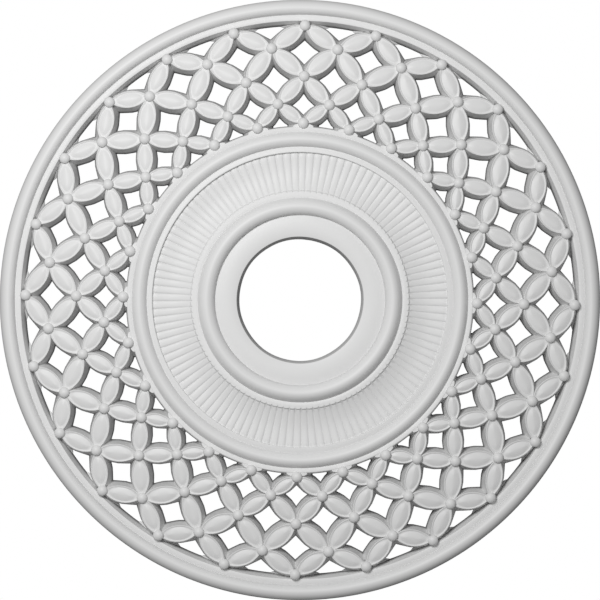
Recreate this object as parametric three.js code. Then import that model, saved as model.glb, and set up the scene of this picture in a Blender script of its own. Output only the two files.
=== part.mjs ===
// Pierced ceiling rose: a round moulding cast in one piece, with a rim, a lattice of petals and a fluted hub.
// Its faces are worked out face up, heights counted from the flat back, and then it is turned over to hang
// face down with the centre of its back at the origin. Millimetres, +Z up.
import * as THREE from 'three';
import { mergeVertices } from 'three/addons/utils/BufferGeometryUtils.js';

// Rim: a flat ledge round the lattice and a half-round bead outside it
const RIM_OUTER_RADIUS = 280;
const RIM_INNER_RADIUS = 260.2;
const RIM_LEDGE_HEIGHT = 15.5;
const RIM_BEAD_FOOT_RADIUS = 266;
const RIM_BEAD_HEIGHT = 21;
const RIM_EDGE_HEIGHT = 11;
const RIM_SEGMENTS = 48;

// Lattice: rings of beads, every second ring half a step round, joined by petals of two quarter arcs
const NODES_PER_RING = 24;
const NODE_RING_RADII = [255.7, 235.6, 208.1, 183.2, 164.3];
const LATTICE_OUTER_HEIGHT = 18.5;
const LATTICE_INNER_HEIGHT = 25.5;
const PETAL_CROWN = 2.2;
const PETAL_END_CROWN = 0.9;
const NODE_WEB = 1.2;
const RIM_ANCHOR_SPREAD = 10;
const HUB_ANCHOR_SPREAD = 9.5;
const BEAD_RADIUS = 4.7;
const BEAD_TOP_RADIUS = 2.9;
const BEAD_HEIGHT = 4.4;

// The walls lean out towards the back, so that the casting leaves its mould
const PETAL_DRAFT = 3.7;
const EDGE_DRAFT = 2.8;
const RIM_BACK_ANCHOR_SPREAD = 22;
const HUB_BACK_ANCHOR_SPREAD = 16.5;

// Hub: hole, flat seat for a lamp's canopy, inner bead and ledge, fluted cove, outer ledges and bead
const HOLE_RADIUS = 59;
const SEAT_RADIUS = 79;
const SEAT_HEIGHT = 27;
const INNER_BEAD_OUTER_RADIUS = 95;
const INNER_BEAD_HEIGHT = 34.5;
const INNER_LEDGE_RADIUS = 101.3;
const INNER_LEDGE_HEIGHT = 28.5;
const COVE_LOW_RADIUS = 121.5;
const COVE_LOW_HEIGHT = 19;
const COVE_OUTER_RADIUS = 136.9;
const COVE_OUTER_HEIGHT = 22.5;
const FLUTES = 116;
const FLUTE_DEPTH = 1.6;
const OUTER_LEDGE_HEIGHT = 26.5;
const OUTER_BEAD_INNER_RADIUS = 142.4;
const OUTER_BEAD_OUTER_RADIUS = 156.2;
const OUTER_BEAD_HEIGHT = 31.5;
const HUB_OUTER_RADIUS = 160.3;
const HUB_EDGE_HEIGHT = 25;
const INNER_SEGMENTS = 36;
const OUTER_SEGMENTS = 48;

const TURN = 2 * Math.PI;
const NODE_STEP = TURN / NODES_PER_RING;
const PETALS_PER_NODE = 4;
const PETAL_TIP_HALF_ANGLE = TURN / 8;
const OUTERMOST = 0;
const INNERMOST = NODE_RING_RADII.length - 1;
const BEAD_PROFILE_DEGREES = [0, 50, 90, 130, 180];

// The surface grows as triangles, and its shared corners are merged at the end
const surface = [];

function triangle(a, b, c) {
  for (const point of [a, b, c]) surface.push(point.x, point.y, point.z);
}

function quad(a, b, c, d) {
  triangle(a, b, c);
  triangle(a, c, d);
}

function polar(radius, angle, height) {
  return new THREE.Vector3(radius * Math.cos(angle), radius * Math.sin(angle), height);
}

// A wall between two edge points, each with a place on the face and on the back, seen from the left
function wall(a, b) {
  quad(a.face, b.face, b.back, a.back);
}

// Rings of points round the axis with their angles, closed by repeating the first point
function ring(radius, height, angles, dip = 0) {
  const points = angles.map((angle, i) => polar(radius, angle, height - (i % 2 ? dip : 0)));
  return { points: [...points, points[0]], angles: [...angles, angles[0] + TURN] };
}

function evenRing(radius, height, segments, dip) {
  const angles = Array.from({ length: segments }, (_, i) => TURN * i / segments);
  return ring(radius, height, angles, dip);
}

// Where the lattice meets the rim or the hub: each node's right, middle and left anchor, then mid-gap
function anchorAngles(nodeAngle, radius, spread) {
  const side = spread / radius;
  return [nodeAngle - side, nodeAngle, nodeAngle + side, nodeAngle + NODE_STEP / 2];
}

const RIM_EDGE = {
  face: { radius: RIM_INNER_RADIUS, height: RIM_LEDGE_HEIGHT, spread: RIM_ANCHOR_SPREAD },
  back: { radius: RIM_INNER_RADIUS - EDGE_DRAFT, height: 0, spread: RIM_BACK_ANCHOR_SPREAD },
};

const HUB_EDGE = {
  face: { radius: HUB_OUTER_RADIUS, height: HUB_EDGE_HEIGHT, spread: HUB_ANCHOR_SPREAD },
  back: { radius: HUB_OUTER_RADIUS + EDGE_DRAFT, height: 0, spread: HUB_BACK_ANCHOR_SPREAD },
};

function anchorRing({ radius, height, spread }) {
  const nodeAngles = Array.from({ length: NODES_PER_RING }, (_, step) => NODE_STEP * step);
  return ring(radius, height, nodeAngles.flatMap((angle) => anchorAngles(angle, radius, spread)));
}

function anchorPoints(edge, nodeAngle) {
  const place = ({ radius, height, spread }) =>
    anchorAngles(nodeAngle, radius, spread).map((angle) => polar(radius, angle, height));
  const back = place(edge.back);
  return place(edge.face).map((face, i) => ({ face, back: back[i] }));
}

// Fills the band between two rings, facing up where the second one is the wider
function stitch(first, second) {
  let i = 0;
  let j = 0;
  while (i < first.points.length - 1 || j < second.points.length - 1) {
    const firstNext = first.angles[i + 1] ?? Infinity;
    const secondNext = second.angles[j + 1] ?? Infinity;
    if (secondNext <= firstNext) {
      triangle(first.points[i], second.points[j], second.points[j + 1]);
      j++;
    } else {
      triangle(first.points[i], second.points[j], first.points[i + 1]);
      i++;
    }
  }
}

function stitchAll(rings) {
  for (let i = 0; i + 1 < rings.length; i++) stitch(rings[i], rings[i + 1]);
}

// A rounded bead moulding between an inner and an outer foot, each [radius, height]
function beadMoulding([innerRadius, innerHeight], [outerRadius, outerHeight], topHeight, segments) {
  const middle = (innerRadius + outerRadius) / 2;
  const halfWidth = (outerRadius - innerRadius) / 2;
  return BEAD_PROFILE_DEGREES.map((degrees) => {
    const angle = THREE.MathUtils.degToRad(degrees);
    const foot = degrees <= 90 ? innerHeight : outerHeight;
    const height = foot + (topHeight - foot) * Math.sin(angle);
    return evenRing(middle - halfWidth * Math.cos(angle), height, segments);
  });
}

function addRim() {
  const innerFoot = [RIM_BEAD_FOOT_RADIUS, RIM_LEDGE_HEIGHT];
  const outerFoot = [RIM_OUTER_RADIUS, RIM_EDGE_HEIGHT];
  stitchAll([
    anchorRing(RIM_EDGE.face),
    ...beadMoulding(innerFoot, outerFoot, RIM_BEAD_HEIGHT, RIM_SEGMENTS),
    evenRing(RIM_OUTER_RADIUS, 0, RIM_SEGMENTS),
    anchorRing(RIM_EDGE.back),
  ]);
}

function innerBead() {
  const innerFoot = [SEAT_RADIUS, SEAT_HEIGHT];
  const outerFoot = [INNER_BEAD_OUTER_RADIUS, INNER_LEDGE_HEIGHT];
  return beadMoulding(innerFoot, outerFoot, INNER_BEAD_HEIGHT, INNER_SEGMENTS);
}

function flutedCove() {
  return [
    evenRing(INNER_LEDGE_RADIUS, INNER_LEDGE_HEIGHT, FLUTES),
    evenRing(COVE_LOW_RADIUS, COVE_LOW_HEIGHT, 2 * FLUTES, FLUTE_DEPTH),
    evenRing(COVE_OUTER_RADIUS, COVE_OUTER_HEIGHT, FLUTES),
  ];
}

function outerBead() {
  const innerFoot = [OUTER_BEAD_INNER_RADIUS, OUTER_LEDGE_HEIGHT];
  const outerFoot = [OUTER_BEAD_OUTER_RADIUS, HUB_EDGE_HEIGHT];
  return beadMoulding(innerFoot, outerFoot, OUTER_BEAD_HEIGHT, OUTER_SEGMENTS);
}

function addHub() {
  const holeBack = evenRing(HOLE_RADIUS - EDGE_DRAFT, 0, INNER_SEGMENTS);
  stitchAll([
    holeBack,
    evenRing(HOLE_RADIUS, SEAT_HEIGHT, INNER_SEGMENTS),
    ...innerBead(),
    ...flutedCove(),
    evenRing(COVE_OUTER_RADIUS, OUTER_LEDGE_HEIGHT, OUTER_SEGMENTS),
    ...outerBead(),
    anchorRing(HUB_EDGE.face),
  ]);
  stitch(anchorRing(HUB_EDGE.back), holeBack);
}

// The walls of the rim and the hub that close the outermost and innermost gaps between the nodes
function addGapWalls() {
  for (let step = 0; step < NODES_PER_RING; step++) {
    const [, , rimLeft, rimMiddle] = anchorPoints(RIM_EDGE, NODE_STEP * step);
    const [rimNextRight] = anchorPoints(RIM_EDGE, NODE_STEP * (step + 1));
    wall(rimLeft, rimMiddle);
    wall(rimMiddle, rimNextRight);
    const [, , hubLeft, hubMiddle] = anchorPoints(HUB_EDGE, NODE_STEP * step);
    const [hubNextRight] = anchorPoints(HUB_EDGE, NODE_STEP * (step + 1));
    wall(hubNextRight, hubMiddle);
    wall(hubMiddle, hubLeft);
  }
}

// The lattice rises from the rim to the hub
function latticeHeight(radius) {
  const outer = NODE_RING_RADII[OUTERMOST];
  const inner = NODE_RING_RADII[INNERMOST];
  return THREE.MathUtils.mapLinear(radius, inner, outer, LATTICE_INNER_HEIGHT, LATTICE_OUTER_HEIGHT);
}

function onFace(point, rise = 0) {
  return point.clone().setZ(latticeHeight(Math.hypot(point.x, point.y)) + rise);
}

function onBack(point) {
  return point.clone().setZ(0);
}

function nodeCentre(ringIndex, angle) {
  return onFace(polar(NODE_RING_RADII[ringIndex], angle, 0));
}

// A node's four neighbours, counter-clockwise from the outward left one; null past the last rings
function neighbourCentres(ringIndex, angle) {
  const places = [[ringIndex - 1, 1], [ringIndex + 1, 1], [ringIndex + 1, -1], [ringIndex - 1, -1]];
  return places.map(([other, side]) => {
    return other in NODE_RING_RADII ? nodeCentre(other, angle + side * NODE_STEP / 2) : null;
  });
}

// How far along a gap's axis a petal's edge crosses it, when the edge is widened by an offset
function edgeCrossing(petal, axis, offset) {
  const arcRadius = petal.length() * Math.SQRT1_2;
  const towardsArc = arcRadius * Math.sin(PETAL_TIP_HALF_ANGLE - petal.angleTo(axis));
  return towardsArc + Math.sqrt(towardsArc ** 2 + 2 * arcRadius * offset + offset ** 2);
}

// The corners of a node's web, where the gaps begin, counter-clockwise from the outward one.
// The outermost and innermost nodes are anchored on the edge of the rim or the hub.
function webCorners(ringIndex, angle, centre, neighbours) {
  const petals = neighbours.map((neighbour) => neighbour?.clone().sub(centre).setZ(0));
  const corner = (slot) => {
    const axis = polar(1, angle + slot * TURN / PETALS_PER_NODE, 0);
    const beside = [petals[slot], petals[(slot + PETALS_PER_NODE - 1) % PETALS_PER_NODE]];
    const reach = (offset) => {
      const [left, right] = beside.map((petal) => edgeCrossing(petal, axis, offset));
      return centre.clone().addScaledVector(axis, (left + right) / 2);
    };
    return { face: onFace(reach(NODE_WEB)), back: onBack(reach(PETAL_DRAFT)) };
  };
  if (ringIndex === OUTERMOST) {
    const [right, middle, left] = anchorPoints(RIM_EDGE, angle);
    return [middle, left, corner(2), right];
  }
  if (ringIndex === INNERMOST) {
    const [right, middle, left] = anchorPoints(HUB_EDGE, angle);
    return [corner(0), left, middle, right];
  }
  return [0, 1, 2, 3].map(corner);
}

function towards(centre, target, distance) {
  const step = target.clone().sub(centre).setZ(0).setLength(distance);
  return centre.clone().add(step);
}

function latticeNode(ringIndex, step) {
  const angle = (step + ringIndex % 2 / 2) * NODE_STEP;
  const centre = nodeCentre(ringIndex, angle);
  const neighbours = neighbourCentres(ringIndex, angle);
  const corners = webCorners(ringIndex, angle, centre, neighbours);
  const gapFeet = corners.map(({ face }) => onFace(towards(centre, face, BEAD_RADIUS)));
  const petalFeet = neighbours.map((neighbour, slot) => {
    const nextCorner = corners[(slot + 1) % PETALS_PER_NODE].face;
    const target = neighbour ?? corners[slot].face.clone().lerp(nextCorner, 0.5);
    return onFace(towards(centre, target, BEAD_RADIUS), PETAL_END_CROWN);
  });
  return { centre, neighbours, corners, gapFeet, petalFeet };
}

// The web between a node's bead and its corners, on the face and on the back
function addWeb({ neighbours, corners, gapFeet, petalFeet }) {
  for (let slot = 0; slot < PETALS_PER_NODE; slot++) {
    const next = (slot + 1) % PETALS_PER_NODE;
    triangle(gapFeet[slot], corners[slot].face, petalFeet[slot]);
    triangle(petalFeet[slot], corners[next].face, gapFeet[next]);
    if (!neighbours[slot]) triangle(corners[slot].face, corners[next].face, petalFeet[slot]);
  }
  const [outward, left, inward, right] = corners.map(({ back }) => back);
  quad(outward, right, inward, left);
}

function addBead({ centre, gapFeet, petalFeet }) {
  const topHeight = centre.z + BEAD_HEIGHT;
  const tops = petalFeet.map((foot) => towards(centre, foot, BEAD_TOP_RADIUS).setZ(topHeight));
  for (let slot = 0; slot < PETALS_PER_NODE; slot++) {
    const next = (slot + 1) % PETALS_PER_NODE;
    triangle(gapFeet[slot], petalFeet[slot], tops[slot]);
    triangle(petalFeet[slot], gapFeet[next], tops[slot]);
    triangle(gapFeet[next], tops[next], tops[slot]);
  }
  quad(...tops);
}

// A petal from one node to the next: a ridged top, two bowed walls and a flat back
function addPetal(from, fromSlot, to, toSlot) {
  const along = to.centre.clone().sub(from.centre).setZ(0);
  const halfWidth = along.length() / 2 * Math.tan(PETAL_TIP_HALF_ANGLE / 2);
  const across = new THREE.Vector3(-along.y, along.x, 0).normalize();
  const middle = from.centre.clone().lerp(to.centre, 0.5);
  const ridge = onFace(middle, PETAL_CROWN);
  const bow = (side) => ({
    face: onFace(middle.clone().addScaledVector(across, side * halfWidth)),
    back: onBack(middle.clone().addScaledVector(across, side * (halfWidth + PETAL_DRAFT))),
  });
  const middleLeft = bow(1);
  const middleRight = bow(-1);
  const startRight = from.corners[fromSlot];
  const startLeft = from.corners[(fromSlot + 1) % PETALS_PER_NODE];
  const endLeft = to.corners[toSlot];
  const endRight = to.corners[(toSlot + 1) % PETALS_PER_NODE];
  const startFoot = from.petalFeet[fromSlot];
  const endFoot = to.petalFeet[toSlot];

  quad(startFoot, ridge, middleLeft.face, startLeft.face);
  quad(ridge, endFoot, endLeft.face, middleLeft.face);
  quad(startFoot, startRight.face, middleRight.face, ridge);
  quad(ridge, middleRight.face, endRight.face, endFoot);
  wall(startLeft, middleLeft);
  wall(middleLeft, endLeft);
  wall(endRight, middleRight);
  wall(middleRight, startRight);
  quad(startRight.back, startLeft.back, middleLeft.back, middleRight.back);
  quad(middleRight.back, middleLeft.back, endLeft.back, endRight.back);
}

function addLattice() {
  const nodes = NODE_RING_RADII.map((_, ringIndex) => {
    return Array.from({ length: NODES_PER_RING }, (_, step) => latticeNode(ringIndex, step));
  });
  for (const node of nodes.flat()) {
    addWeb(node);
    addBead(node);
  }
  for (let ringIndex = OUTERMOST; ringIndex < INNERMOST; ringIndex++) {
    for (let step = 0; step < NODES_PER_RING; step++) {
      const node = nodes[ringIndex][step];
      const left = (step + ringIndex % 2) % NODES_PER_RING;
      const right = (left + NODES_PER_RING - 1) % NODES_PER_RING;
      addPetal(node, 1, nodes[ringIndex + 1][left], 3);
      addPetal(node, 2, nodes[ringIndex + 1][right], 0);
    }
  }
}

function castingGeometry() {
  addRim();
  addLattice();
  addGapWalls();
  addHub();
  const geometry = new THREE.BufferGeometry();
  geometry.setAttribute('position', new THREE.Float32BufferAttribute(surface, 3));
  return mergeVertices(geometry, 1e-3);
}

const paintedFoam = new THREE.MeshStandardMaterial({ color: 0xe6e6e4, roughness: 0.6, metalness: 0 });
const rose = new THREE.Mesh(castingGeometry(), paintedFoam);
rose.name = 'ceiling_rose';
rose.rotation.x = Math.PI;

const part = new THREE.Group();
part.add(rose);

export default part;
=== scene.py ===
import math

import bmesh
import bpy
import numpy as np
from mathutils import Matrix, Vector


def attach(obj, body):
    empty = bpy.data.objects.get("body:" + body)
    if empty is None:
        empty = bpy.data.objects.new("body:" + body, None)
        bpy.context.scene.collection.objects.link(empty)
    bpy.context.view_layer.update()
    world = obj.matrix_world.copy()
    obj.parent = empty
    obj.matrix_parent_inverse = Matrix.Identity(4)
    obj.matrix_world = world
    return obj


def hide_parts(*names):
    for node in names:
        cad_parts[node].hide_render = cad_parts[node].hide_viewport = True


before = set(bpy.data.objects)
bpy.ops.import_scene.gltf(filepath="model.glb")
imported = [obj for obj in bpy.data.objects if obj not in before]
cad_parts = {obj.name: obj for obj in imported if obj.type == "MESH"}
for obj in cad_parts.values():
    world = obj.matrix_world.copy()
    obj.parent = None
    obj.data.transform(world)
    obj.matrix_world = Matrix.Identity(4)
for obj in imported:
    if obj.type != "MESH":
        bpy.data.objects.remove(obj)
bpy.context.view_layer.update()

# Sizes in millimetres, with the rose lying face up on its back; heights are above the back

RIM_OUTER_RADIUS = 280.0
RIM_INNER_RADIUS = 260.2
RIM_LEDGE_HEIGHT = 15.5
RIM_BEAD_FOOT_RADIUS = 266.0
RIM_BEAD_CREST_RADIUS = 272.2
RIM_BEAD_HEIGHT = 21.0
RIM_EDGE_HEIGHT = 15.0
RIM_BEAD_TILTS = (10, 42)
RIM_BEAD_STEPS = 14
RIM_SEGMENTS = 240

NODES_PER_RING = 24
NODE_RING_RADII = (255.7, 235.6, 208.1, 183.2, 164.3)
LATTICE_OUTER_HEIGHT = 18.5
LATTICE_INNER_HEIGHT = 25.5

PETAL_SIDE_SEGMENTS = 10
PETAL_DRAFT = 3.1
BACK_BOW = 2.2
PETAL_FULLNESS = 1.02
BORDER_PROFILE = ((0, -0.7), (0.15, -0.2), (0.5, 0.05), (0.9, 0), (1.25, -0.35))
BORDER_WIDTH = 1.6
GROOVE_DEPTH = 0.55
PILLOW_RISE = 0.8
PILLOW_SHARES = (0, 0.18, 0.44, 0.72, 0.95)
PILLOW_END_GAP = 6.4

BEAD_RADIUS = 5.2
BEAD_RISE = 4.0
BEAD_SLOPES = (-50, -10, 12, 34, 55, 73, 86)
BEAD_SEGMENTS = 14

WEB_SEGMENTS = 24
RIM_WEB_SPREAD = (24.0, 12.0)
RIM_WEB_DEPTH = (4.5, 0.6)
RIM_WEB_HEIGHT = 5.0
HUB_WEB_SPREAD = (15.0, 9.5)
HUB_WEB_DEPTH = (3.5, 3.2)
HUB_WEB_HEIGHT = 24.7

EDGE_DRAFT = 2.8
EDGE_ROUND = 0.7
FOOT_DROP = 0.4
HOLE_RADIUS = 58.7
HOLE_DRAFT = 1.6
SEAT_RADIUS = 79.0
SEAT_HEIGHT = 27.0
INNER_BEAD_OUTER_RADIUS = 95.0
INNER_BEAD_HEIGHT = 34.5
INNER_BEAD_TILTS = (0, 50)
INNER_LEDGE_RADIUS = 101.3
INNER_LEDGE_HEIGHT = 27.2
COVE_INNER_HEIGHT = 26.0
COVE_LOW_RADIUS = 121.5
COVE_LOW_HEIGHT = 21.6
COVE_OUTER_RADIUS = 136.9
COVE_OUTER_HEIGHT = 22.4
REEDS = 116
REED_STATIONS = (-1, -0.82, -0.45, 0, 0.45, 0.82)
REED_DEPTH = 0.7
REED_ROWS = 9
TRENCH_INNER_RADIUS = 98.0
TRENCH_HEIGHT = 14.0
HUB_BEAD_STEPS = 12
HUB_SEGMENTS = 220
OUTER_LEDGE_HEIGHT = 24.8
OUTER_BEAD_INNER_RADIUS = 142.4
OUTER_BEAD_OUTER_RADIUS = 156.2
OUTER_BEAD_HEIGHT = 30.0
OUTER_BEAD_TILTS = (30, 52)
HUB_OUTER_RADIUS = 160.8
HUB_EDGE_HEIGHT = 25.0
SHARP_EDGE_ANGLE = math.radians(38)

# Finish

PAINT_COLOUR = (0.72, 0.72, 0.718, 1)
# Painted shade: a near-black colour mixed into the paint on the walls of the cut-outs, full at the back and
# fading out within this distance of it, in metres
SHADE_COLOUR = (0.01, 0.01, 0.01, 1)
SHADE_REACH = 0.007
PAINT_ROUGHNESS = 0.42
PAINT_SPECULAR = 0.22
GRAIN_SCALE = 900
GRAIN_STRENGTH = 0.06
GRAIN_DEPTH = 0.0006

# Lights, in metres and watts, and the world's even light

KEY_LIGHT_PLACE = (-0.42, -0.52, -1.45)
KEY_LIGHT_SIZE = 0.6
KEY_LIGHT_POWER = 19.2
FILL_LIGHT_PLACE = (0.05, 0.05, -1.95)
FILL_LIGHT_SIZE = 0.3
FILL_LIGHT_POWER = 4.5
BACK_LIGHT_STRENGTH = 2.4
AMBIENT_STRENGTH = 0.11

# Where the camera stands and what it frames, in metres, with the sensor in millimetres

CAMERA_DISTANCE = 2.0
FRAMED_WIDTH = 0.56385
SENSOR_WIDTH = 36.0
CAMERA_ROLL = math.radians(-1.05)
FLOOR_DEPTH = 2.6
FLOOR_HALF_WIDTH = 30


def lattice_height(radius):
    """Height of the lattice's face, which rises evenly from the rim to the hub."""
    outer = NODE_RING_RADII[0]
    inner = NODE_RING_RADII[-1]
    share = (outer - radius) / (outer - inner)
    return LATTICE_OUTER_HEIGHT + share * (LATTICE_INNER_HEIGHT - LATTICE_OUTER_HEIGHT)


def node_point(ring, step):
    """Centre of one lattice node; every second ring sits half a step round."""
    turn = step + 0.5 * (ring % 2)
    angle = 2 * math.pi * turn / NODES_PER_RING
    radius = NODE_RING_RADII[ring]
    return np.array((radius * math.cos(angle), radius * math.sin(angle)))


# Closed forms, each a list of points and a list of faces


def loft(rings):
    """Closed form through a stack of rings, with its two ends zipped shut across."""
    count = len(rings[0])
    half = count // 2
    points = np.concatenate(rings)
    faces = []
    for row in range(len(rings) - 1):
        low = row * count
        for i in range(count):
            j = (i + 1) % count
            faces.append((low + i, low + j, low + count + j, low + count + i))
    last = (len(rings) - 1) * count
    for start in (0, last):
        for i in range(half):
            corners = (i, i + 1, count - i - 1, (count - i) % count)
            faces.append(tuple(start + c for c in dict.fromkeys(corners)))
    return points, faces


def revolve(rows):
    """Closed ring form through rows of points that run round the axis."""
    count = len(rows[0])
    points = np.concatenate(rows)
    faces = []
    for row in range(len(rows)):
        low = row * count
        high = (row + 1) % len(rows) * count
        for i in range(count):
            j = (i + 1) % count
            faces.append((low + i, low + j, high + j, high + i))
    return points, faces


def together(forms):
    """Several separate closed forms as one list of points and faces."""
    points = []
    faces = []
    offset = 0
    for form_points, form_faces in forms:
        points.append(form_points)
        faces.extend(tuple(offset + c for c in face) for face in form_faces)
        offset += len(form_points)
    return np.concatenate(points), faces


def circle_row(radius, height, angles):
    """Points of one row round the axis; radius and height may change with the angle."""
    x = radius * np.cos(angles)
    y = radius * np.sin(angles)
    return np.stack((x, y, height + 0 * angles), axis=1)


def half_round(start, crest, end, steps, start_tilt=0, end_tilt=0):
    """Profile points of a rounded moulding between two feet; a tilt in degrees leans a foot's side back."""
    points = []
    first = math.radians(start_tilt)
    last = math.pi - math.radians(end_tilt)
    for i in range(steps + 1):
        angle = first + (last - first) * i / steps
        rising = angle < math.pi / 2
        foot = start if rising else end
        edge = first if rising else last
        across = math.cos(angle) / math.cos(edge)
        up = (math.sin(angle) - math.sin(edge)) / (1 - math.sin(edge))
        radius = crest[0] + (foot[0] - crest[0]) * across
        height = foot[1] + (crest[1] - foot[1]) * up
        points.append((radius, height))
    return points


# Lattice


def mirrored(x, y):
    """Closed outline from one side of a petal and its mirror image."""
    left = np.stack((x, y), axis=1)
    right = np.stack((x[-2:0:-1], -y[-2:0:-1]), axis=1)
    return np.concatenate((left, right))


def lens(bow, inset):
    """Outline of a petal between two quarter arcs of radius bow, drawn in by inset."""
    middle = bow * math.cos(math.pi / 4)
    radius = bow - inset
    reach = math.acos(middle / radius)
    side = np.linspace(-reach, reach, PETAL_SIDE_SEGMENTS + 1)
    x = radius * np.sin(side)
    y = (radius * np.cos(side) - middle) * PETAL_FULLNESS
    return mirrored(x, y)


def back_outline(length):
    """Outline of a petal on the back, wider by the draft and almost straight along each side."""
    half_width = length / 2 * math.tan(math.pi / 8) + PETAL_DRAFT
    x = np.linspace(-1, 1, PETAL_SIDE_SEGMENTS + 1)
    y = half_width - BACK_BOW * np.abs(x) ** 1.2
    y[0] = 0
    y[-1] = 0
    x = x * (length / 2 + 0.5)
    return mirrored(x, y)


def pillow_outline(bow, length, share):
    """Outline of the pillow inside a petal's border, blunt at its ends; share runs from edge to ridge."""
    middle = bow * math.cos(math.pi / 4)
    reach = length / 2 - PILLOW_END_GAP * length / 40
    side = np.sin(np.linspace(-1, 1, PETAL_SIDE_SEGMENTS + 1) * math.pi / 2)
    y = np.sqrt((bow - BORDER_WIDTH) ** 2 - (reach * side) ** 2) - middle
    y = y * np.sqrt(np.clip(1 - side**6, 0, 1)) * (1 - share)
    x = reach * side * (1 - 0.5 * share)
    return mirrored(x, y)


def petal(start, end):
    """One petal: drafted walls, a raised border, a groove and a pillow inside it."""
    along = end - start
    length = float(np.hypot(*along))
    along = along / length
    across = np.array((-along[1], along[0]))
    middle = (start + end) / 2
    bow = length / math.sqrt(2)

    def ring(outline, rise):
        plan = middle + outline[:, :1] * along + outline[:, 1:] * across
        height = lattice_height(np.hypot(plan[:, 0], plan[:, 1])) + rise
        return np.column_stack((plan, height))

    back = ring(back_outline(length), 0)
    back[:, 2] = 0
    rings = [back]
    for inset, rise in BORDER_PROFILE:
        rings.append(ring(lens(bow, inset), rise))
    for share in PILLOW_SHARES:
        swell = math.sin(share * math.pi / 2)
        rise = -GROOVE_DEPTH + swell * (PILLOW_RISE + GROOVE_DEPTH)
        rings.append(ring(pillow_outline(bow, length, share), rise))
    return loft(rings)


def bead(ring, step):
    """Half-round bead on one lattice node."""
    centre = node_point(ring, step)
    base = lattice_height(NODE_RING_RADII[ring])
    angles = np.linspace(0, 2 * math.pi, BEAD_SEGMENTS, endpoint=False)
    rings = []
    for slope in BEAD_SLOPES:
        radius = BEAD_RADIUS * math.cos(math.radians(slope))
        height = base + BEAD_RISE * math.sin(math.radians(slope))
        row = circle_row(radius, height, angles)
        row[:, :2] += centre
        rings.append(row)
    return loft(rings)


def web(ring, height, back, face):
    """Drafted webs that tie one ring of nodes to the edge of the rim or the hub."""
    turns = np.linspace(0, 2 * math.pi, WEB_SEGMENTS, endpoint=False)
    forms = []
    for step in range(NODES_PER_RING):
        out = node_point(ring, step) / NODE_RING_RADII[ring]
        along = np.array((-out[1], out[0]))
        rings = []
        for (radius, spread, depth), level in ((back, 0), (face, height)):
            plan = out * radius
            plan = plan + np.outer(np.cos(turns) * spread, along)
            plan = plan + np.outer(np.sin(turns) * depth, out)
            rings.append(np.column_stack((plan, np.full(WEB_SEGMENTS, level))))
        forms.append(loft(rings))
    return together(forms)


def petals(parity, lean):
    """Petals of every second row that lean one way, so that none touches another."""
    forms = []
    for ring in range(parity, len(NODE_RING_RADII) - 1, 2):
        shift = ring % 2
        for step in range(NODES_PER_RING):
            start = node_point(ring, step)
            end = node_point(ring + 1, step + shift - 1 + lean)
            forms.append(petal(start, end))
    return together(forms)


def beads():
    """Every bead of the lattice."""
    forms = []
    for ring in range(len(NODE_RING_RADII)):
        for step in range(NODES_PER_RING):
            forms.append(bead(ring, step))
    return together(forms)


# Rim and hub


def rim():
    """Outer frame: drafted inner wall, flat ledge and a rounded bead."""
    angles = np.linspace(0, 2 * math.pi, RIM_SEGMENTS, endpoint=False)
    profile = [(RIM_INNER_RADIUS - EDGE_DRAFT, 0)]
    profile.append((RIM_INNER_RADIUS, RIM_LEDGE_HEIGHT - EDGE_ROUND))
    profile.append((RIM_INNER_RADIUS + 0.3 * EDGE_ROUND, RIM_LEDGE_HEIGHT - 0.3 * EDGE_ROUND))
    profile.append((RIM_INNER_RADIUS + EDGE_ROUND, RIM_LEDGE_HEIGHT))
    profile.append((RIM_BEAD_FOOT_RADIUS - 0.7, RIM_LEDGE_HEIGHT))
    foot = (RIM_BEAD_FOOT_RADIUS, RIM_LEDGE_HEIGHT - FOOT_DROP)
    crest = (RIM_BEAD_CREST_RADIUS, RIM_BEAD_HEIGHT)
    end = (RIM_OUTER_RADIUS, RIM_EDGE_HEIGHT)
    profile.extend(half_round(foot, crest, end, RIM_BEAD_STEPS, *RIM_BEAD_TILTS))
    profile.append((RIM_OUTER_RADIUS, EDGE_ROUND))
    profile.append((RIM_OUTER_RADIUS - EDGE_ROUND, 0))
    return revolve([circle_row(r, h, angles) for r, h in profile])


def cove_height(radius):
    """Height of the hollow between the hub's two ledges."""
    if radius < COVE_LOW_RADIUS:
        share = (COVE_LOW_RADIUS - radius) / (COVE_LOW_RADIUS - INNER_LEDGE_RADIUS)
        return COVE_LOW_HEIGHT + (COVE_INNER_HEIGHT - COVE_LOW_HEIGHT) * share**1.7
    share = (radius - COVE_LOW_RADIUS) / (COVE_OUTER_RADIUS - COVE_LOW_RADIUS)
    return COVE_LOW_HEIGHT + (COVE_OUTER_HEIGHT - COVE_LOW_HEIGHT) * share**1.5


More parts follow.
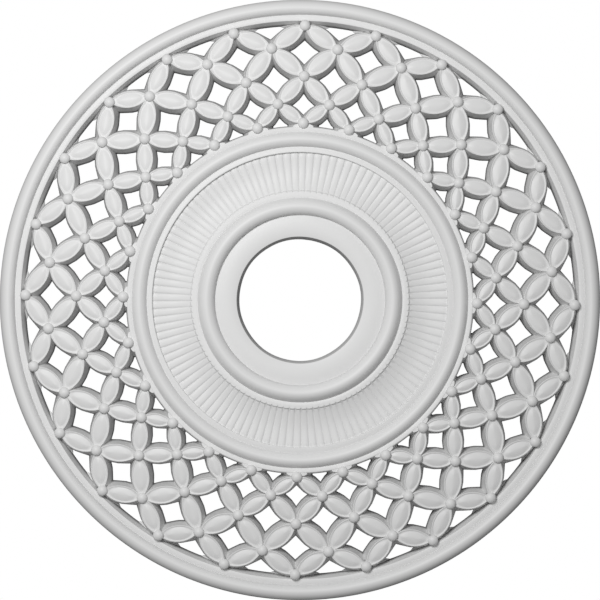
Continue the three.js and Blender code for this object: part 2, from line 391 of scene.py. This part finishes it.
def reeds():
    """Ring of fine reeds in the cove, with narrow grooves that notch the inner ledge's edge."""
    pitch = 2 * math.pi / REEDS
    across = np.tile(REED_STATIONS, REEDS)
    angles = (np.repeat(np.arange(REEDS), len(REED_STATIONS)) + across / 2) * pitch
    away = np.abs(across)
    groove = 0.4 * away**2 + 0.6 * np.clip((away - 0.8) / 0.2, 0, 1)

    rows = [circle_row(TRENCH_INNER_RADIUS - 0.5, TRENCH_HEIGHT - 1, angles)]
    rows.append(circle_row(TRENCH_INNER_RADIUS - 0.5, INNER_LEDGE_HEIGHT, angles))
    rows.append(circle_row(INNER_LEDGE_RADIUS - 1.9, INNER_LEDGE_HEIGHT, angles))
    notched = INNER_LEDGE_RADIUS - 0.3 - 1.3 * groove
    rows.append(circle_row(notched, INNER_LEDGE_HEIGHT - 0.1, angles))
    first = INNER_LEDGE_RADIUS + 0.8
    for share in np.linspace(0, 1, REED_ROWS):
        radius = first + share * (COVE_OUTER_RADIUS - first)
        height = cove_height(radius) - 0.4 * (1 - share)
        depth = REED_DEPTH * (0.6 + 0.8 * share)
        rows.append(circle_row(radius, height - depth * groove, angles))
    rows.append(circle_row(COVE_OUTER_RADIUS + 1.5, COVE_OUTER_HEIGHT - 1, angles))
    rows.append(circle_row(COVE_OUTER_RADIUS + 1.5, TRENCH_HEIGHT - 1, angles))
    return revolve(rows)


def hub():
    """Centre: hole, flat seat and two rounded beads, with a trench between them for the reeds."""
    angles = np.linspace(0, 2 * math.pi, HUB_SEGMENTS, endpoint=False)
    trim = 0.15 * np.sin(3 * angles + 0.8) + 0.08 * np.sin(8 * angles)

    rows = [circle_row(HOLE_RADIUS - HOLE_DRAFT + 1.5 * trim, 0, angles)]
    rows.append(circle_row(HOLE_RADIUS + trim, SEAT_HEIGHT - EDGE_ROUND, angles))
    rows.append(circle_row(HOLE_RADIUS + 0.3 * EDGE_ROUND + trim, SEAT_HEIGHT - 0.2, angles))
    rows.append(circle_row(HOLE_RADIUS + EDGE_ROUND + trim, SEAT_HEIGHT, angles))

    profile = [(SEAT_RADIUS - 0.8, SEAT_HEIGHT)]
    foot = (SEAT_RADIUS, SEAT_HEIGHT - FOOT_DROP)
    crest = ((SEAT_RADIUS + INNER_BEAD_OUTER_RADIUS) / 2, INNER_BEAD_HEIGHT)
    end = (INNER_BEAD_OUTER_RADIUS, INNER_LEDGE_HEIGHT - FOOT_DROP)
    profile.extend(half_round(foot, crest, end, HUB_BEAD_STEPS, *INNER_BEAD_TILTS))
    profile.append((INNER_BEAD_OUTER_RADIUS + 0.8, INNER_LEDGE_HEIGHT))
    profile.append((TRENCH_INNER_RADIUS, INNER_LEDGE_HEIGHT))
    profile.append((TRENCH_INNER_RADIUS, TRENCH_HEIGHT))
    profile.append((COVE_OUTER_RADIUS, TRENCH_HEIGHT))
    profile.append((COVE_OUTER_RADIUS + 0.2, OUTER_LEDGE_HEIGHT - 0.5))
    profile.append((COVE_OUTER_RADIUS + EDGE_ROUND, OUTER_LEDGE_HEIGHT))
    profile.append((OUTER_BEAD_INNER_RADIUS - 0.7, OUTER_LEDGE_HEIGHT))
    foot = (OUTER_BEAD_INNER_RADIUS, OUTER_LEDGE_HEIGHT - FOOT_DROP)
    crest = ((OUTER_BEAD_INNER_RADIUS + OUTER_BEAD_OUTER_RADIUS) / 2, OUTER_BEAD_HEIGHT)
    end = (OUTER_BEAD_OUTER_RADIUS, HUB_EDGE_HEIGHT - FOOT_DROP)
    profile.extend(half_round(foot, crest, end, HUB_BEAD_STEPS, *OUTER_BEAD_TILTS))
    profile.append((OUTER_BEAD_OUTER_RADIUS + 0.7, HUB_EDGE_HEIGHT))
    profile.append((HUB_OUTER_RADIUS - EDGE_ROUND, HUB_EDGE_HEIGHT))
    profile.append((HUB_OUTER_RADIUS, HUB_EDGE_HEIGHT - EDGE_ROUND))
    profile.append((HUB_OUTER_RADIUS + EDGE_DRAFT, 0))
    rows.extend(circle_row(r, h, angles) for r, h in profile)
    return revolve(rows)


# Casting


def as_object(name, form):
    """Turns a form over to face down, in metres, and adds it to the scene."""
    points, faces = form
    turned = points * (0.001, -0.001, -0.001)
    mesh = bpy.data.meshes.new(name)
    mesh.from_pydata(turned.tolist(), [], faces)
    work = bmesh.new()
    work.from_mesh(mesh)
    bmesh.ops.recalc_face_normals(work, faces=work.faces)
    bmesh.ops.triangulate(work, faces=work.faces)
    work.to_mesh(mesh)
    work.free()
    thing = bpy.data.objects.new(name, mesh)
    bpy.context.collection.objects.link(thing)
    return thing


def unite(target, others):
    """Joins other forms into the target as one watertight skin."""
    for other in others:
        joint = target.modifiers.new("union", "BOOLEAN")
        joint.operation = "UNION"
        joint.solver = "MANIFOLD"
        joint.object = other
    graph = bpy.context.evaluated_depsgraph_get()
    united = bpy.data.meshes.new_from_object(target.evaluated_get(graph))
    target.modifiers.clear()
    target.data = united
    for other in others:
        bpy.data.objects.remove(other)


def casting():
    """The whole rose as one skin, smooth except at its real edges."""
    rose = as_object("ceiling_rose_casting", rim())
    others = [as_object("hub_form", hub()), as_object("reed_form", reeds())]
    for parity in (0, 1):
        for lean in (0, 1):
            others.append(as_object("petal_form", petals(parity, lean)))
    others.append(as_object("bead_form", beads()))
    rim_edge = RIM_INNER_RADIUS - EDGE_DRAFT
    back = (rim_edge, RIM_WEB_SPREAD[0], RIM_WEB_DEPTH[0])
    face = (rim_edge, RIM_WEB_SPREAD[1], RIM_WEB_DEPTH[1])
    rim_web = web(0, RIM_WEB_HEIGHT, back, face)
    others.append(as_object("rim_web_form", rim_web))
    hub_edge = HUB_OUTER_RADIUS + EDGE_DRAFT
    back = (hub_edge, HUB_WEB_SPREAD[0], HUB_WEB_DEPTH[0])
    face = (HUB_OUTER_RADIUS, HUB_WEB_SPREAD[1], HUB_WEB_DEPTH[1])
    hub_web = web(4, HUB_WEB_HEIGHT, back, face)
    others.append(as_object("hub_web_form", hub_web))
    unite(rose, others)
    mesh = rose.data
    mesh.shade_smooth()
    mesh.set_sharp_from_angle(angle=SHARP_EDGE_ANGLE)
    return rose


# Finish


def remapped(nodes, links, source, low, high, start, end):
    """A value taken from one range to another, held at both ends."""
    remap = nodes.new("ShaderNodeMapRange")
    remap.inputs["From Min"].default_value = low
    remap.inputs["From Max"].default_value = high
    remap.inputs["To Min"].default_value = start
    remap.inputs["To Max"].default_value = end
    links.new(source, remap.inputs["Value"])
    return remap.outputs["Result"]


def gap_shade(nodes, links, position):
    """Share of shade: none on the face, full at the back of the cut-outs' walls."""
    surface = nodes.new("ShaderNodeNewGeometry")
    facing = nodes.new("ShaderNodeSeparateXYZ")
    links.new(surface.outputs["Normal"], facing.inputs["Vector"])
    upright = nodes.new("ShaderNodeMath")
    upright.operation = "ABSOLUTE"
    links.new(facing.outputs["Z"], upright.inputs[0])
    place = nodes.new("ShaderNodeSeparateXYZ")
    links.new(position, place.inputs["Vector"])
    wall = remapped(nodes, links, upright.outputs["Value"], 0.25, 0.6, 1, 0)
    deep = remapped(nodes, links, place.outputs["Z"], -SHADE_REACH, 0, 0, 1)
    across = nodes.new("ShaderNodeCombineXYZ")
    links.new(place.outputs["X"], across.inputs["X"])
    links.new(place.outputs["Y"], across.inputs["Y"])
    radius = nodes.new("ShaderNodeVectorMath")
    radius.operation = "LENGTH"
    links.new(across.outputs["Vector"], radius.inputs[0])
    rim_side = 0.001 * RIM_OUTER_RADIUS - 0.010
    inside = remapped(nodes, links, radius.outputs["Value"], rim_side, rim_side + 0.002, 1, 0)
    hole_side = 0.001 * SEAT_RADIUS
    outside = remapped(nodes, links, radius.outputs["Value"], hole_side, hole_side + 0.002, 0, 1)
    share = wall
    for factor in (deep, inside, outside):
        product = nodes.new("ShaderNodeMath")
        product.operation = "MULTIPLY"
        links.new(share, product.inputs[0])
        links.new(factor, product.inputs[1])
        share = product.outputs["Value"]
    return share


def painted_foam():
    """Matt white paint on moulded foam, with a fine grain and shade in the cut-outs."""
    material = bpy.data.materials.new("painted_foam")
    material.use_nodes = True
    nodes = material.node_tree.nodes
    links = material.node_tree.links
    shader = nodes["Principled BSDF"]
    shader.inputs["Roughness"].default_value = PAINT_ROUGHNESS
    shader.inputs["Specular IOR Level"].default_value = PAINT_SPECULAR
    place = nodes.new("ShaderNodeTexCoord")
    # Painted shade: the paint colour is mixed towards near black at the back of the cut-outs' walls,
    # standing in for the shade that falls there
    paint = nodes.new("ShaderNodeMix")
    paint.data_type = "RGBA"
    paint.inputs["A"].default_value = PAINT_COLOUR
    paint.inputs["B"].default_value = SHADE_COLOUR
    links.new(gap_shade(nodes, links, place.outputs["Object"]), paint.inputs["Factor"])
    links.new(paint.outputs["Result"], shader.inputs["Base Color"])
    grain = nodes.new("ShaderNodeTexNoise")
    grain.inputs["Scale"].default_value = GRAIN_SCALE
    grain.inputs["Detail"].default_value = 3
    bump = nodes.new("ShaderNodeBump")
    bump.inputs["Strength"].default_value = GRAIN_STRENGTH
    bump.inputs["Distance"].default_value = GRAIN_DEPTH
    links.new(place.outputs["Object"], grain.inputs["Vector"])
    links.new(grain.outputs["Fac"], bump.inputs["Height"])
    links.new(bump.outputs["Normal"], shader.inputs["Normal"])
    return material


def pale_floor():
    """Plain pale studio floor, a room's height below the rose."""
    mesh = bpy.data.meshes.new("studio_floor")
    half = FLOOR_HALF_WIDTH
    corners = [(-half, -half, -FLOOR_DEPTH), (half, -half, -FLOOR_DEPTH)]
    corners += [(half, half, -FLOOR_DEPTH), (-half, half, -FLOOR_DEPTH)]
    mesh.from_pydata(corners, [], [(0, 1, 2, 3)])
    floor = bpy.data.objects.new("studio_floor", mesh)
    floor.visible_diffuse = False
    floor.visible_glossy = False
    bpy.context.collection.objects.link(floor)
    material = bpy.data.materials.new("pale_floor")
    material.use_nodes = True
    shader = material.node_tree.nodes["Principled BSDF"]
    shader.inputs["Base Color"].default_value = (0.85, 0.85, 0.85, 1)
    shader.inputs["Roughness"].default_value = 0.9
    mesh.materials.append(material)
    return floor


# Light and camera


def soft_light(name, place, size, power):
    """Round soft light that faces the rose's centre and isn't seen itself."""
    lamp = bpy.data.lights.new(name, "AREA")
    lamp.shape = "DISK"
    lamp.size = size
    lamp.energy = power
    light = bpy.data.objects.new(name, lamp)
    light.location = place
    aim = -Vector(place)
    light.rotation_euler = aim.to_track_quat("-Z", "Y").to_euler()
    light.visible_camera = False
    bpy.context.collection.objects.link(light)


def back_light():
    """Even light from straight above, for the back of the rose and the floor."""
    lamp = bpy.data.lights.new("back_light", "SUN")
    lamp.energy = BACK_LIGHT_STRENGTH
    lamp.angle = math.radians(4)
    light = bpy.data.objects.new("back_light", lamp)
    light.location = (0, 0, 3)
    bpy.context.collection.objects.link(light)


def studio_world():
    """White backdrop, with a dimmer even light from all round."""
    world = bpy.data.worlds.new("studio")
    world.use_nodes = True
    nodes = world.node_tree.nodes
    links = world.node_tree.links
    backdrop = nodes["Background"]
    backdrop.inputs["Color"].default_value = (1, 1, 1, 1)
    backdrop.inputs["Strength"].default_value = 1
    ambient = nodes.new("ShaderNodeBackground")
    ambient.inputs["Color"].default_value = (1, 1, 1, 1)
    ambient.inputs["Strength"].default_value = AMBIENT_STRENGTH
    path = nodes.new("ShaderNodeLightPath")
    mix = nodes.new("ShaderNodeMixShader")
    links.new(path.outputs["Is Camera Ray"], mix.inputs["Fac"])
    links.new(ambient.outputs["Background"], mix.inputs[1])
    links.new(backdrop.outputs["Background"], mix.inputs[2])
    links.new(mix.outputs["Shader"], nodes["World Output"].inputs["Surface"])
    bpy.context.scene.world = world


def camera():
    """Long lens straight below the rose, looking up at its face."""
    lens_data = bpy.data.cameras.new("main_camera")
    lens_data.sensor_width = SENSOR_WIDTH
    lens_data.lens = SENSOR_WIDTH * CAMERA_DISTANCE / FRAMED_WIDTH
    eye = bpy.data.objects.new("main_camera", lens_data)
    eye.location = (0, 0, -CAMERA_DISTANCE)
    eye.rotation_euler = (math.pi, 0, CAMERA_ROLL)
    bpy.context.collection.objects.link(eye)
    bpy.context.scene.camera = eye


rose = casting()
rose.data.materials.clear()
rose.data.materials.append(painted_foam())
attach(rose, "root")
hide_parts("ceiling_rose")
pale_floor()
studio_world()
soft_light("key_light", KEY_LIGHT_PLACE, KEY_LIGHT_SIZE, KEY_LIGHT_POWER)
soft_light("fill_light", FILL_LIGHT_PLACE, FILL_LIGHT_SIZE, FILL_LIGHT_POWER)
back_light()
camera()
bpy.context.scene.view_settings.view_transform = "Standard"
